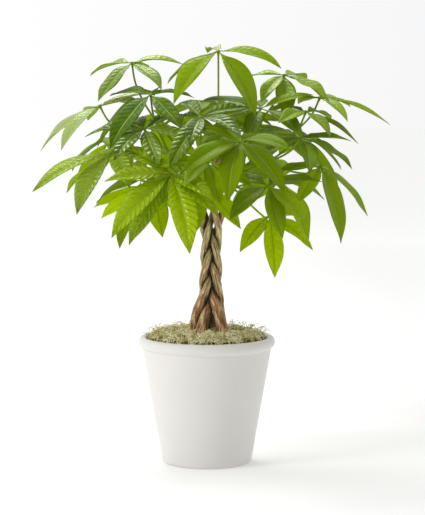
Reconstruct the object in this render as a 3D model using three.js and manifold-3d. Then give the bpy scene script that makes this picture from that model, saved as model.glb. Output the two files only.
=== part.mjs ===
// A potted money tree: a tapered pot with a rolled rim, soil under a layer of dry moss, five
// braided trunks, and fronds of leaflets that spread like umbrellas from the tips of long petioles.
// Millimetres, +Z up. The pot stands on z = 0, centred on the Z axis, and the front is -Y.

import * as THREE from "three";
import { mergeVertices } from "three/addons/utils/BufferGeometryUtils.js";
import Module from "manifold-3d";

const GAP = 0.3; // clearance where two pieces meet
const SHORTEST = 0.03; // edges shorter than this, which cuts can leave, are closed up

const POT = {
  height: 166,
  footRadius: 59,
  footRound: 5,
  shoulderRadius: 84.4,
  shoulderHeight: 151,
  rimRadius: 89,
  lipRadius: 77.4,
  wall: 6.8,
  floor: 8,
  sides: 36,
};

const SOIL = { top: 157.7, sides: 24 };

const MOSS = {
  edgeHeight: 162,
  crown: 9.5,
  bump: 1.5,
  fineBump: 1,
  rings: [0.25, 0.5, 0.7, 0.86, 0.96, 1],
  sides: 28,
};

// The trunks follow a five-strand braid: each swings from side to side once every pitch, and from
// front to back twice. They stand apart at the feet and open again under the crown. A stage gives
// the braid's own middle, half its swing each way, and how thick the trunks are at a height.
const BRAID = {
  pitch: 180,
  crossing: 282,
  straightness: 0.9, // of the swing from side to side: 0 is a sine wave, 1 a zigzag
  stages: [
    { height: 165, middle: 3.5, reach: 18.5, depth: 12, radius: 6.3 },
    { height: 198, middle: 4.2, reach: 15.6, depth: 11.2, radius: 5.5 },
    { height: 228, middle: 5.2, reach: 12, depth: 9.8, radius: 4.6 },
    { height: 260, middle: 5.6, reach: 10.9, depth: 9.3, radius: 4.3 },
    { height: 292, middle: 6, reach: 10.2, depth: 9, radius: 4 },
    { height: 330, middle: 6, reach: 16, depth: 11.5, radius: 4 },
  ],
  stubBottom: 112,
  footHeight: 160,
  footEnd: 212,
  open: 318,
  topLean: 0.45, // how far out the cut top of a trunk leans, over how far up
  step: 11,
  openingSteps: 6,
  sides: 7,
};

// Each trunk: where its foot stands, and where its cut top leans to.
const TRUNKS = [
  { foot: [6, 10], top: { heading: 5, reach: 36, height: 384 } },
  { foot: [-15.5, 5.5], top: { heading: -72, reach: 28, height: 372 } },
  { foot: [-11.5, -8.5], top: { heading: 145, reach: 36, height: 396 } },
  { foot: [24, 4.5], top: { heading: -145, reach: 34, height: 380 } },
  { foot: [18.5, -9.5], top: { heading: 72, reach: 28, height: 402 } },
];

const LEAFLET = {
  thickness: 0.8,
  slimness: 0.3, // width over length
  fold: 15, // degrees each half rises from the midrib
  stations: [0, 0.09, 0.36, 0.72],
  stalk: { halfWidth: 0.8, share: 0.07 },
  foldedFrom: 0.25, // share of the length where the fold has opened in full
  widest: 0.47,
  shoulder: 1.1,
  droop: 19, // degrees that a leaflet hangs below its umbrella's own plane
  bend: 32,
  upright: 0.35, // how much a leaflet faces straight up rather than along its umbrella's axis
  innerShortening: 0.25,
  vary: { heading: 4, droop: 3, bend: 8, roll: 12, length: 0.04, wave: 0.8 },
};

const PETIOLE = {
  base: 1.7,
  tip: 1.15,
  hub: 3.4,
  topRoot: 4, // how far below its top a trunk bears the first one
  spacing: 7,
  outward: 0.22,
  upward: 0.26,
  underHub: 0.34,
  steps: 6,
  sides: 4,
};

// What a petiole or leaflet tries, in turn, to clear its neighbours: how far a petiole bows to one
// side, and by how many degrees a leaflet is [turned, lifted], at which share of its length.
const CLEARANCE = 0.8;
const BOWS = [0, 8, -8, 16, -16, 26, -26, 38, -38];
const NUDGES = [
  [0, 0], [0, 8], [0, -8], [8, 0], [-8, 0], [8, 8], [-8, 8], [8, -8], [-8, -8],
  [0, 16], [0, -16], [16, 0], [-16, 0], [14, 14], [-14, 14], [14, -14], [-14, -14],
  [0, 24], [0, -24], [22, 8], [-22, 8], [22, -8], [-22, -8], [0, 32], [0, -32],
];
const SHARES = [1, 0.85, 0.7];
const SEED = 1000;
const SEED_STEP = 77;
const NEAR_HUB = 0.2; // share of its length within which a leaflet may meet its frond's others

// An umbrella faces away from the crown's middle, and somewhat up, unless its frond says otherwise.
const CROWN = { middle: new THREE.Vector3(8, 0, 365), upward: 0.8 };

// Each frond: its trunk, its hub, and its leaflets as [heading in degrees from +X seen from above,
// degrees below level, length, and for a few how they roll about their midrib]. A frond with a
// count instead has them all round its umbrella, from the first heading on, the outermost as long
// as given. Where they aren't the usual ones: which way the umbrella leans as [heading, degrees
// from level], how leaflets bend and how slim they are.
const FRONDS = [
  { trunk: 4, hub: [15, 0, 535], lean: [-92, 10], bend: 42, slim: 0.34,
    leaflets: [[-10, 15, 87, -25], [-46, 51, 110], [-140, 42, 102], [155, 30, 86], [105, 2, 56]] },
  { trunk: 3, hub: [-43, -118, 383], lean: [-92, 46], slim: 0.31,
    leaflets: [[-65, 60, 110], [-145, 40, 117], [-160, 57, 104], [-168, 5, 86], [158, -16, 78],
      [-48, 20, 84], [-30, 53, 84]] },
  { trunk: 1, hub: [41, -120, 424], lean: [-85, 38], slim: 0.32,
    leaflets: [[-141, 21, 96], [-103, 46, 98], [-46, 38, 101], [-40, 6, 82], [165, -14, 62],
      [62, -2, 62], [108, -12, 56]] },
  { trunk: 0, hub: [146, -30, 388], lean: [-50, 40], slim: 0.28,
    leaflets: [[-62, 62, 109], [8, 46, 90], [-123, 36, 78], [-148, 11, 66], [90, 10, 74]] },
  { trunk: 2, hub: [-97, 20, 520], lean: [-95, 14], slim: 0.34,
    leaflets: [[140, 13, 78], [-132, 38, 80], [-52, 28, 74], [12, 2, 70], [70, 16, 60]] },
  { trunk: 2, hub: [-139, 20, 464], lean: [-150, 18],
    leaflets: [[-174, 37, 99], [-128, 36, 95], [-42, -3, 76], [14, -12, 76], [105, 15, 82]] },
  { trunk: 3, hub: [-119, -60, 408], lean: [-130, 24], bend: 24, slim: 0.31,
    leaflets: [[-163, 25, 116], [-124, 45, 106], [145, 36, 94], [52, -18, 62], [-70, 30, 84],
      [98, 8, 80]] },
  { trunk: 4, hub: [101, 30, 504], lean: [-80, 14], slim: 0.34,
    leaflets: [[-125, 32, 66], [-88, 40, 78], [-38, 25, 80], [-4, 24, 64], [140, 3, 64], [60, 8, 66]] },
  { trunk: 0, hub: [147, 20, 475], lean: [-30, 14], bend: 26, slim: 0.27,
    leaflets: [[-6, 21, 100], [-60, 24, 72], [176, 6, 70], [55, 10, 80], [112, 8, 70]] },
  { trunk: 1, hub: [79, -75, 330], lean: [-75, 42],
    leaflets: [[-80, 65, 86], [-127, 34, 77], [-33, 33, 77], [125, -4, 46], [42, 8, 66]] },
  { trunk: 1, hub: [77, -95, 368], lean: [-80, 40], slim: 0.32,
    leaflets: [[-138, 31, 78], [-68, 54, 78], [-42, 36, 74], [2, -4, 70], [70, 0, 68], [138, -4, 68]] },
  { trunk: 3, hub: [-71, -40, 480], lean: [-110, 24], slim: 0.34,
    leaflets: [[-134, 43, 99], [-50, 34, 76], [172, 44, 98], [32, -4, 66], [88, 2, 76], [134, 2, 80]] },
  { trunk: 0, hub: [119, -41, 425], lean: [-40, 26], slim: 0.32,
    leaflets: [[-29, 27, 84], [-82, 32, 78], [-136, 18, 76], [26, 4, 76], [82, -4, 72], [148, -4, 68]] },
  { trunk: 3, hub: [-7, -80, 453], lean: [-92, 30], slim: 0.32,
    leaflets: [[-127, 44, 90], [-48, 17, 80], [-88, 42, 74], [130, 10, 76], [112, -14, 72], [30, -8, 76]] },
  { trunk: 1, hub: [69, -18, 462], lean: [-70, 24], slim: 0.32,
    leaflets: [[-113, 38, 70], [-48, 33, 88], [8, -14, 72], [174, -6, 80], [95, -4, 74], [-152, 12, 72]] },
  { trunk: 0, hub: [127, -20, 458], lean: [-40, 20],
    leaflets: [[-9, 31, 80], [-62, 27, 70], [-122, 18, 72], [60, 2, 74], [142, 0, 68]] },
  { trunk: 3, hub: [-78, -71, 438], lean: [-110, 26], slim: 0.34,
    leaflets: [[-70, 38, 74], [-124, 30, 74], [28, -10, 58], [172, 8, 82], [-24, 15, 73], [104, -5, 71]] },
  { trunk: 1, hub: [2, -105, 398], lean: [-88, 42], slim: 0.32,
    leaflets: [[-73, 52, 72], [-116, 38, 70], [-25, 26, 68], [-166, 12, 70], [90, -20, 56]] },
  { trunk: 3, hub: [-64, -76, 358], lean: [-110, 38], slim: 0.34,
    leaflets: [[-80, 42, 78], [-150, 21, 84], [-22, 34, 76], [170, 6, 84], [96, -6, 72]] },
  { trunk: 1, hub: [-10, -64, 364], lean: [-80, 36], slim: 0.34,
    leaflets: [[-41, 35, 86], [-96, 50, 74], [-142, 34, 76], [48, 0, 70], [168, 0, 72]] },
  { trunk: 4, hub: [13, 60, 466], count: 6, first: 5, length: 92, lean: [90, 10], slim: 0.34 },
  { trunk: 2, hub: [-62, 104, 446], count: 6, first: 100, length: 108, slim: 0.34 },
  { trunk: 4, hub: [58, 122, 440], count: 6, first: 70, length: 108, slim: 0.34 },
  { trunk: 0, hub: [122, 86, 424], count: 6, first: 30, length: 106, slim: 0.34 },
  { trunk: 2, hub: [-126, 80, 420], count: 6, first: 155, length: 106, slim: 0.34 },
  { trunk: 4, hub: [-6, 142, 392], count: 6, first: 95, length: 106, slim: 0.34 },
  { trunk: 0, hub: [100, 112, 362], count: 5, first: 40, length: 102, slim: 0.34 },
  { trunk: 2, hub: [-88, 116, 362], count: 5, first: 135, length: 102, slim: 0.34 },
  { trunk: 4, hub: [34, 20, 432], count: 6, first: -60, length: 96, lean: [-60, 20], slim: 0.34 },
];

const FINISH = {
  pot: { color: 0xe9e8e4, roughness: 0.45, metalness: 0 },
  soil: { color: 0x2f2318, roughness: 1, metalness: 0 },
  moss: { color: 0xa59c71, roughness: 1, metalness: 0 },
  bark: { color: 0x85683f, roughness: 0.9, metalness: 0 },
  leaf: { color: 0x678607, roughness: 0.45, metalness: 0 },
};

const UP = new THREE.Vector3(0, 0, 1);
const rad = THREE.MathUtils.degToRad;
const lerp = THREE.MathUtils.lerp;
const smooth = THREE.MathUtils.smoothstep;

const wasm = await Module();
wasm.setup();

const tree = new THREE.Group();

// A closed three.js geometry as a manifold-3d solid.
function solid(geometry) {
  const bare = geometry.clone();
  bare.deleteAttribute("normal");
  bare.deleteAttribute("uv");
  const merged = mergeVertices(bare, 1e-4);
  return new wasm.Manifold(
    new wasm.Mesh({
      numProp: 3,
      vertProperties: merged.getAttribute("position").array,
      triVerts: new Uint32Array(merged.index.array),
    }),
  );
}

// A solid from a list of points and a list of triangles.
function closedShell(points, faces) {
  const geometry = new THREE.BufferGeometry().setFromPoints(points);
  geometry.setIndex(faces.flat());
  return solid(geometry);
}

// Adds a solid to the tree as a named mesh, without the loose scraps that a cut can leave.
function addPiece(name, body, finish) {
  const whole = body.decompose().sort((a, b) => b.volume() - a.volume())[0];
  const shape = whole.simplify(SHORTEST).getMesh();
  const geometry = new THREE.BufferGeometry();
  geometry.setAttribute("position", new THREE.BufferAttribute(shape.vertProperties, 3));
  geometry.setIndex(new THREE.BufferAttribute(shape.triVerts, 1));
  const piece = new THREE.Mesh(geometry, new THREE.MeshStandardMaterial(finish));
  piece.name = name;
  tree.add(piece);
  return whole;
}

// A turned solid, from a profile of [radius, height] that starts and ends on the axis.
function turned(profile, sides) {
  const points = profile.map(([radius, height]) => new THREE.Vector2(radius, height));
  return solid(new THREE.LatheGeometry(points, sides).rotateX(Math.PI / 2));
}

// A closed tube through the points, with its own radius at each.
function taperedTube(points, radii, sides) {
  const last = points.length - 1;
  const corners = [];
  const faces = [];
  const side = new THREE.Vector3(1, 0.2, 0.1);
  points.forEach((point, i) => {
    const along = points[Math.min(i + 1, last)].clone().sub(points[Math.max(i - 1, 0)]).normalize();
    side.addScaledVector(along, -side.dot(along)).normalize();
    const other = along.clone().cross(side);
    for (let j = 0; j < sides; j += 1) {
      const angle = (2 * Math.PI * j) / sides;
      const corner = point.clone().addScaledVector(side, radii[i] * Math.cos(angle));
      corners.push(corner.addScaledVector(other, radii[i] * Math.sin(angle)));
    }
  });
  for (let i = 0; i < last; i += 1) {
    for (let j = 0; j < sides; j += 1) {
      const a = i * sides + j;
      const b = i * sides + ((j + 1) % sides);
      faces.push([a, b, b + sides], [a, b + sides, a + sides]);
    }
  }
  corners.push(points[0].clone(), points[last].clone());
  for (let j = 0; j < sides; j += 1) {
    const next = (j + 1) % sides;
    faces.push([corners.length - 2, next, j]);
    faces.push([corners.length - 1, last * sides + j, last * sides + next]);
  }
  return closedShell(corners, faces);
}

// ---- pot, soil and moss ----

function potWall(height) {
  const slope = (POT.shoulderRadius - POT.footRadius) / (POT.shoulderHeight - POT.footRound);
  return POT.footRadius + slope * (height - POT.footRound);
}

function arc(centre, radii, from, to, steps) {
  return Array.from({ length: steps + 1 }, (_, i) => {
    const angle = rad(lerp(from, to, i / steps));
    return [centre[0] + radii[0] * Math.cos(angle), centre[1] + radii[1] * Math.sin(angle)];
  });
}

function makePot() {
  const beadHalf = [(POT.rimRadius - POT.lipRadius) / 2, (POT.height - POT.shoulderHeight) / 2];
  const beadCentre = [POT.lipRadius + beadHalf[0], POT.height - beadHalf[1]];
  const footCentre = [POT.footRadius - POT.footRound, POT.footRound];
  return turned(
    [
      [0, 0],
      ...arc(footCentre, [POT.footRound, POT.footRound], -90, 0, 2),
      ...arc(beadCentre, beadHalf, -75, 180, 7),
      [POT.lipRadius, POT.shoulderHeight],
      [potWall(POT.floor) - POT.wall, POT.floor],
      [0, POT.floor],
    ],
    POT.sides,
  );
}

function makeSoil() {
  const top = POT.lipRadius - GAP;
  return turned(
    [
      [0, POT.floor + GAP],
      [potWall(POT.floor) - POT.wall - 2 * GAP, POT.floor + GAP],
      [top, POT.shoulderHeight],
      [top, SOIL.top],
      [0, SOIL.top],
    ],
    SOIL.sides,
  );
}

function mossHeight(x, y) {
  const edge = Math.min(Math.hypot(x, y) / (POT.lipRadius - GAP), 1);
  const broad = Math.sin(0.21 * x + 0.4) * Math.cos(0.17 * y - 0.6);
  const fine = Math.sin(0.37 * x - 0.29 * y + 1.3) + Math.sin(0.31 * y + 0.33 * x);
  const bumps = MOSS.bump * broad + MOSS.fineBump * fine;
  return MOSS.edgeHeight + MOSS.crown * Math.sqrt(1 - edge ** 6) + bumps * (1 - edge ** 8);
}

// A bumpy cushion: rings of points over a flat underside.
function makeMoss() {
  const radius = POT.lipRadius - GAP;
  const under = SOIL.top + GAP;
  const corners = [new THREE.Vector3(0, 0, mossHeight(0, 0))];
  const faces = [];
  const onRing = (share, height) => {
    for (let j = 0; j < MOSS.sides; j += 1) {
      const angle = (2 * Math.PI * j) / MOSS.sides;
      const x = share * radius * Math.cos(angle);
      const y = share * radius * Math.sin(angle);
      corners.push(new THREE.Vector3(x, y, height(x, y)));
    }
  };
  MOSS.rings.forEach((share) => onRing(share, mossHeight));
  onRing(1, () => under);
  corners.push(new THREE.Vector3(0, 0, under));
  for (let j = 0; j < MOSS.sides; j += 1) {
    const next = (j + 1) % MOSS.sides;
    faces.push([0, 1 + j, 1 + next]);
    for (let i = 0; i < MOSS.rings.length; i += 1) {
      const a = 1 + i * MOSS.sides + j;
      const b = 1 + i * MOSS.sides + next;
      faces.push([a, a + MOSS.sides, b + MOSS.sides], [a, b + MOSS.sides, b]);
    }
    const lowest = 1 + MOSS.rings.length * MOSS.sides;
    faces.push([corners.length - 1, lowest + next, lowest + j]);
  }
  return closedShell(corners, faces);
}

// ---- trunks ----

// One of the braid's sizes at a height.
function alongBraid(size, z) {
  const { stages } = BRAID;
  const above = stages.findIndex((stage) => stage.height > z);
  if (above === 0) return stages[0][size];
  if (above < 0) return stages.at(-1)[size];
  const [lower, upper] = [stages[above - 1], stages[above]];
  return lerp(lower[size], upper[size], (z - lower.height) / (upper.height - lower.height));
}

function strandPoint(index, z) {
  const angle = 2 * Math.PI * ((z - BRAID.crossing) / BRAID.pitch + index / TRUNKS.length);
  const swing = Math.asin(BRAID.straightness * Math.sin(angle)) / Math.asin(BRAID.straightness);
  return new THREE.Vector3(
    alongBraid("middle", z) + alongBraid("reach", z) * swing,
    alongBraid("depth", z) * Math.sin(2 * angle),
    z,
  );
}

// Above its foot a trunk runs straight at first, and joins the braid along the braid's own slope.
function braidPoint(index, z) {
  if (z >= BRAID.footEnd) return strandPoint(index, z);
  const joint = strandPoint(index, BRAID.footEnd);
  const slope = strandPoint(index, BRAID.footEnd + 1).sub(joint);
  const rise = BRAID.footEnd - BRAID.footHeight;
  const foot = new THREE.Vector3(...TRUNKS[index].foot, BRAID.footHeight);
  const between = joint.clone().addScaledVector(slope, -rise / 2);
  const share = Math.max(0, (z - BRAID.footHeight) / rise);
  return new THREE.QuadraticBezierCurve3(foot, between, joint).getPoint(share).setZ(z);
}

function trunkPath(index) {
  const { heading, reach, height } = TRUNKS[index].top;
  const points = [braidPoint(index, BRAID.stubBottom)];
  for (let z = BRAID.footHeight; z < BRAID.open; z += BRAID.step) points.push(braidPoint(index, z));
  const start = braidPoint(index, BRAID.open);
  const out = new THREE.Vector3(Math.cos(rad(heading)), Math.sin(rad(heading)), 0);
  const middle = new THREE.Vector3(alongBraid("middle", height), 0, height);
  const end = out.clone().multiplyScalar(reach).add(middle);
  const rise = start.clone().sub(braidPoint(index, BRAID.open - GAP)).normalize();
  const lean = out.clone().multiplyScalar(BRAID.topLean).add(UP).normalize();
  const third = start.distanceTo(end) / 3;
  const opening = new THREE.CubicBezierCurve3(
    start,
    start.clone().addScaledVector(rise, third),
    end.clone().addScaledVector(lean, -third),
    end,
  );
  return points.concat(opening.getPoints(BRAID.openingSteps));
}

function makeTrunk(path, extra) {
  const radii = path.map((point) => alongBraid("radius", point.z) + extra);
  return taperedTube(path, radii, BRAID.sides);
}

// ---- fronds ----

// A seeded stream of numbers between -1 and 1, each drawn from the last by a linear rule.
function drawFrom(seed) {
  const [factor, offset, range] = [1664525, 1013904223, 2 ** 32];
  let state = seed;
  return () => {
    state = (state * factor + offset) % range;
    return (2 * state) / range - 1;
  };
}

function umbrellaAxis(frond, hub) {
  if (!frond.lean) {
    const away = hub.clone().sub(CROWN.middle).normalize();
    return away.addScaledVector(UP, CROWN.upward).normalize();
  }
  const [heading, tilt] = frond.lean.map(rad);
  return new THREE.Vector3(
    Math.cos(heading) * Math.sin(tilt),
    Math.sin(heading) * Math.sin(tilt),
    Math.cos(tilt),
  );
}

// Half the width of a leaflet of the given width at a share of its length.
function halfWidth(width, share) {
  const { halfWidth: least, share: start } = LEAFLET.stalk;
  const along = Math.max(0, (share - start) / (1 - start));
  const fall = (LEAFLET.shoulder * (1 - LEAFLET.widest)) / LEAFLET.widest;
  const rising = (along / LEAFLET.widest) ** LEAFLET.shoulder;
  const falling = ((1 - along) / (1 - LEAFLET.widest)) ** fall;
  return least + (width / 2 - least) * rising * falling;
}

// Which way a leaflet runs from its hub to its tip. A frond's own leaflets are given from level,
// and those of an umbrella from its plane.
function leafletRun(axis, umbrella, heading, droop) {
  const level = new THREE.Vector3(Math.cos(heading), Math.sin(heading), 0);
  if (!umbrella) return level.multiplyScalar(Math.cos(droop)).addScaledVector(UP, -Math.sin(droop));
  const out = level.addScaledVector(axis, -level.dot(axis)).normalize();
  return out.multiplyScalar(Math.cos(droop)).addScaledVector(axis, -Math.sin(droop));
}

// The blade of one leaflet: a midrib that leaves the hub and bends down along an arc, with a half
// blade rising a little on each side of it. It ends in a point.
function makeLeaflet(shape, extra) {
  const { hub, axis, umbrella, heading, droop, bend, length, roll, wave } = shape;
  const out = leafletRun(axis, umbrella, heading, droop);
  const lift = axis.clone().addScaledVector(UP, LEAFLET.upright);
  lift.addScaledVector(out, -lift.dot(out)).normalize();
  const rise = bend / 2;
  const midrib = (share) => {
    const turn = rise - bend * share;
    return hub
      .clone()
      .addScaledVector(out, (length / bend) * (Math.sin(rise) - Math.sin(turn)))
      .addScaledVector(lift, (length / bend) * (Math.cos(turn) - Math.cos(rise)));
  };
  const across = out.clone().cross(lift);
  const width = shape.slim * length + 2 * extra;
  const thick = LEAFLET.thickness + 2 * extra;
  const corners = [];
  LEAFLET.stations.forEach((share, i) => {
    const turn = rise - bend * share;
    const face = lift.clone().multiplyScalar(Math.cos(turn)).addScaledVector(out, -Math.sin(turn));
    const tilt = roll * share;
    const side = across.clone().multiplyScalar(Math.cos(tilt)).addScaledVector(face, Math.sin(tilt));
    face.multiplyScalar(Math.cos(tilt)).addScaledVector(across, -Math.sin(tilt));
    const half = halfWidth(width, share);
    const folded = Math.min(1, share / LEAFLET.foldedFrom);
    const up = half * Math.tan(rad(LEAFLET.fold)) * folded;
    const ripple = i === 0 ? 0 : wave * (i % 2 === 0 ? 1 : -1);
    const rib = midrib(share);
    const corner = (sideways, raised) =>
      corners.push(rib.clone().addScaledVector(side, sideways).addScaledVector(face, raised));
    corner(-half, up + ripple + thick / 2);
    corner(0, thick / 2);
    corner(half, up - ripple + thick / 2);
    corner(half, up - ripple - thick / 2);
    corner(0, -thick / 2);
    corner(-half, up + ripple - thick / 2);
  });
  const faces = [
    [0, 5, 1],
    [1, 5, 4],
    [1, 3, 2],
    [1, 4, 3],
  ];
  const spans = LEAFLET.stations.length - 1;
  for (let i = 0; i < spans; i += 1) {
    for (let j = 0; j < 6; j += 1) {
      const a = 6 * i + j;
      const b = 6 * i + ((j + 1) % 6);
      if (j === 0 || j === 2 || j === 3) faces.push([a, b, b + 6], [a, b + 6, a + 6]);
      else faces.push([a, b, a + 6], [b, b + 6, a + 6]);
    }
  }
  corners.push(midrib(1 + extra / length));
  for (let j = 0; j < 6; j += 1) {
    faces.push([6 * spans + j, 6 * spans + ((j + 1) % 6), corners.length - 1]);
  }
  return closedShell(corners, faces);
}

// A leaflet's own place in its frond, before it is nudged clear of its neighbours.
function drawLeaflet(frond, order, hub, axis, draw) {
  const { vary } = LEAFLET;
  const own = {
    hub,
    axis,
    umbrella: !frond.leaflets,
    bend: rad((frond.bend ?? LEAFLET.bend) + vary.bend * draw()),
    slim: frond.slim ?? LEAFLET.slimness,
    roll: rad(vary.roll) * draw(),
    wave: vary.wave * draw(),
  };
  if (frond.leaflets) {
    const [heading, droop, length, roll = own.roll / rad(1)] = frond.leaflets[order];
    return { ...own, heading: rad(heading), droop: rad(droop), length, roll: rad(roll) };
  }
  const heading = rad(frond.first + (360 * order) / frond.count + vary.heading * draw());
  const outward = frond.lean ? rad(frond.lean[0]) : Math.atan2(hub.y, hub.x);
  const inner = (1 - Math.cos(heading - outward)) / 2;
  const length = frond.length * (1 - LEAFLET.innerShortening * inner) * (1 + vary.length * draw());
  return { ...own, heading, droop: rad(LEAFLET.droop + vary.droop * draw()), length };
}

// A petiole leaves its trunk a little below the top and curves out and up to its hub, bowed to one
// side by the given distance.
function makePetiole(path, depth, hub, axis, bow, extra) {
  const stem = new THREE.CatmullRomCurve3(path);
  const root = stem.getPointAt(1 - depth / stem.getLength());
  const span = hub.clone().sub(root);
  const length = span.length();
  const outward = new THREE.Vector3(span.x, span.y, 0).normalize();
  const sideways = outward.clone().cross(UP).multiplyScalar(bow);
  const leaving = root.clone().addScaledVector(outward, PETIOLE.outward * length);
  leaving.addScaledVector(UP, PETIOLE.upward * length).add(sideways);
  const arriving = hub.clone().addScaledVector(axis, -PETIOLE.underHub * length).add(sideways);
  const points = new THREE.CubicBezierCurve3(root, leaving, arriving, hub).getPoints(PETIOLE.steps);
  const radii = points.map(
    (_, i) => lerp(PETIOLE.base, PETIOLE.tip, Math.sqrt(i / PETIOLE.steps)) + extra,
  );
  return taperedTube(points, radii, PETIOLE.sides);
}

// ---- assembly ----

// Whether a solid meets any of the others.
function meets(body, others) {
  const box = body.boundingBox();
  return others.some((other) => {
    const apart = [0, 1, 2].some(
      (i) => other.box.min[i] > box.max[i] || other.box.max[i] < box.min[i],
    );
    return !apart && body.intersect(other.body).volume() > 0;
  });
}

const boxed = (body) => ({ body, box: body.boundingBox() });

addPiece("pot", makePot(), FINISH.pot);

const trunkPaths = TRUNKS.map((_, index) => trunkPath(index));
const trunkRooms = trunkPaths.map((path) => makeTrunk(path, GAP));
const planted = (body) => trunkRooms.reduce((rest, room) => rest.subtract(room), body);
addPiece("soil", planted(makeSoil()), FINISH.soil);
addPiece("moss", planted(makeMoss()), FINISH.moss);
trunkPaths.forEach((path, index) => {
  addPiece(`trunk_${index + 1}`, makeTrunk(path, 0), FINISH.bark);
});

// The petioles come first, each bowed to the first side where nothing is in its way.
const taken = trunkRooms.map(boxed);
const rooted = TRUNKS.map(() => 0);
const fronds = FRONDS.map((frond) => {
  const hub = new THREE.Vector3(...frond.hub);
  const axis = umbrellaAxis(frond, hub);
  const depth = PETIOLE.topRoot + PETIOLE.spacing * rooted[frond.trunk];
  rooted[frond.trunk] += 1;
  const room = trunkRooms[frond.trunk];
  const others = taken.filter((other) => other.body !== room);
  const path = trunkPaths[frond.trunk];
  const bow = BOWS.find((side) => {
    const rough = makePetiole(path, depth, hub, axis, side, CLEARANCE).subtract(room);
    return !meets(rough, others);
  });
  const knob = new THREE.OctahedronGeometry(PETIOLE.hub, 0).translate(...frond.hub);
  const body = makePetiole(path, depth, hub, axis, bow, 0).subtract(room).add(solid(knob));
  const stalk = boxed(body);
  taken.push(stalk);
  return { frond, hub, axis, stalk };
});

// Each leaflet takes the first place near its own where it clears what is there already, and is
// left out where there is none. Those of one frond may meet close to their hub.
fronds.forEach(({ frond, hub, axis, stalk }, index) => {
  const draw = drawFrom(SEED + SEED_STEP * index);
  const others = taken.filter((other) => other !== stalk);
  let whole = stalk.body;
  for (let k = 0; k < (frond.count ?? frond.leaflets.length); k += 1) {
    const leaflet = drawLeaflet(frond, k, hub, axis, draw);
    const places = SHARES.flatMap((share) =>
      NUDGES.map(([turn, lift]) => ({
        ...leaflet,
        length: leaflet.length * share,
        heading: leaflet.heading + rad(turn),
        droop: leaflet.droop - rad(lift),
      })),
    );
    const place = places.find((candidate) => !meets(makeLeaflet(candidate, CLEARANCE), others));
    if (place) {
      const blade = makeLeaflet(place, 0);
      const nearHub = new THREE.SphereGeometry(NEAR_HUB * place.length, 8, 6).translate(...frond.hub);
      others.push(boxed(blade.subtract(solid(nearHub))));
      taken.push(boxed(blade));
      whole = whole.add(blade);
    }
  }
  addPiece(`frond_${String(index + 1).padStart(2, "0")}`, whole, FINISH.leaf);
});

export default tree;
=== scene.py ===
import random
from math import atan2, cos, degrees, exp, hypot, pi, radians, sin, sqrt

import bmesh
import bpy
from mathutils import Matrix, Vector, noise
from mathutils.bvhtree import BVHTree


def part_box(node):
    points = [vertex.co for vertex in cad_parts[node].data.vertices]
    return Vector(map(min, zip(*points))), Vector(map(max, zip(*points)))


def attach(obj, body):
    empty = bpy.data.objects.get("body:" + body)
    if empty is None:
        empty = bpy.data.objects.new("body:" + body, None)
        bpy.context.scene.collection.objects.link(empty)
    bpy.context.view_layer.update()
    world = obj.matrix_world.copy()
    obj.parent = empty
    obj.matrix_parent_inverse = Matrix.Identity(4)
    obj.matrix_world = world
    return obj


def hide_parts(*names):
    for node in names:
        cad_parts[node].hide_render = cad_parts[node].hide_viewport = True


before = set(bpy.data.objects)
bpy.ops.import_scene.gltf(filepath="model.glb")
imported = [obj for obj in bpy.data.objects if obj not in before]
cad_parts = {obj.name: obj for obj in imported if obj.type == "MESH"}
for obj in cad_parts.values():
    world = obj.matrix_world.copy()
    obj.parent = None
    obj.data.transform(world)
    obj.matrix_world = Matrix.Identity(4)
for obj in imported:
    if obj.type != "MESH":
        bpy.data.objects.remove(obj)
scene = bpy.context.scene
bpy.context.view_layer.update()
mm = 0.001
sameSpot = 0.001 * mm  # corners closer than this are one
up = Vector((0, 0, 1))


def linear(hexColour):
    value = int(hexColour.lstrip("#"), 16)
    parts = [(value >> shift & 255) / 255 for shift in (16, 8, 0)]
    return [c / 12.92 if c <= 0.04045 else ((c + 0.055) / 1.055) ** 2.4 for c in parts] + [1]


def newMaterial(name):
    material = bpy.data.materials.new(name)
    material.use_nodes = True
    material.node_tree.nodes.clear()
    return material


# Adds a node: settings are its own properties, and inputs are values, or the sockets or nodes that
# feed it, where a node gives its first output.
def addNode(material, kind, inputs=None, **settings):
    node = material.node_tree.nodes.new("ShaderNode" + kind)
    for name, value in settings.items():
        setattr(node, name, value)
    for name, value in (inputs or {}).items():
        if isinstance(value, bpy.types.Node):
            value = value.outputs[0]
        if isinstance(value, bpy.types.NodeSocket):
            material.node_tree.links.new(value, node.inputs[name])
        else:
            node.inputs[name].default_value = value
    return node


def finishMaterial(material, shader):
    addNode(material, "OutputMaterial", {"Surface": shader})
    return material


def smoothStep(low, high, value):
    share = min(1, max(0, (value - low) / (high - low)))
    return share * share * (3 - 2 * share)


def mix(a, b, share):
    return a + (b - a) * share


def addObject(name, shape, material):
    mesh = bpy.data.meshes.new(name)
    shape.to_mesh(mesh)
    shape.free()
    mesh.materials.append(material)
    mesh.polygons.foreach_set("use_smooth", [True] * len(mesh.polygons))
    added = bpy.data.objects.new(name, mesh)
    scene.collection.objects.link(added)
    return added


# Makes a piece of a closed bmesh, and says its body and the frame solids it stands for. Its slot is
# not used.
def addPiece(name, shape, material, slot, *nodes):
    piece = addObject(name, shape, material)
    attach(piece, "root")
    if nodes:
        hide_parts(*nodes)


# A frame solid as a bmesh whose triangles share their corners.
def solidCopy(node):
    shape = bmesh.new()
    shape.from_mesh(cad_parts[node].data)
    bmesh.ops.remove_doubles(shape, verts=shape.verts, dist=sameSpot)
    return shape


# A search tree over a frame solid's surface.
def treeOf(node):
    shape = solidCopy(node)
    tree = BVHTree.FromBMesh(shape)
    shape.free()
    return tree


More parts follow.
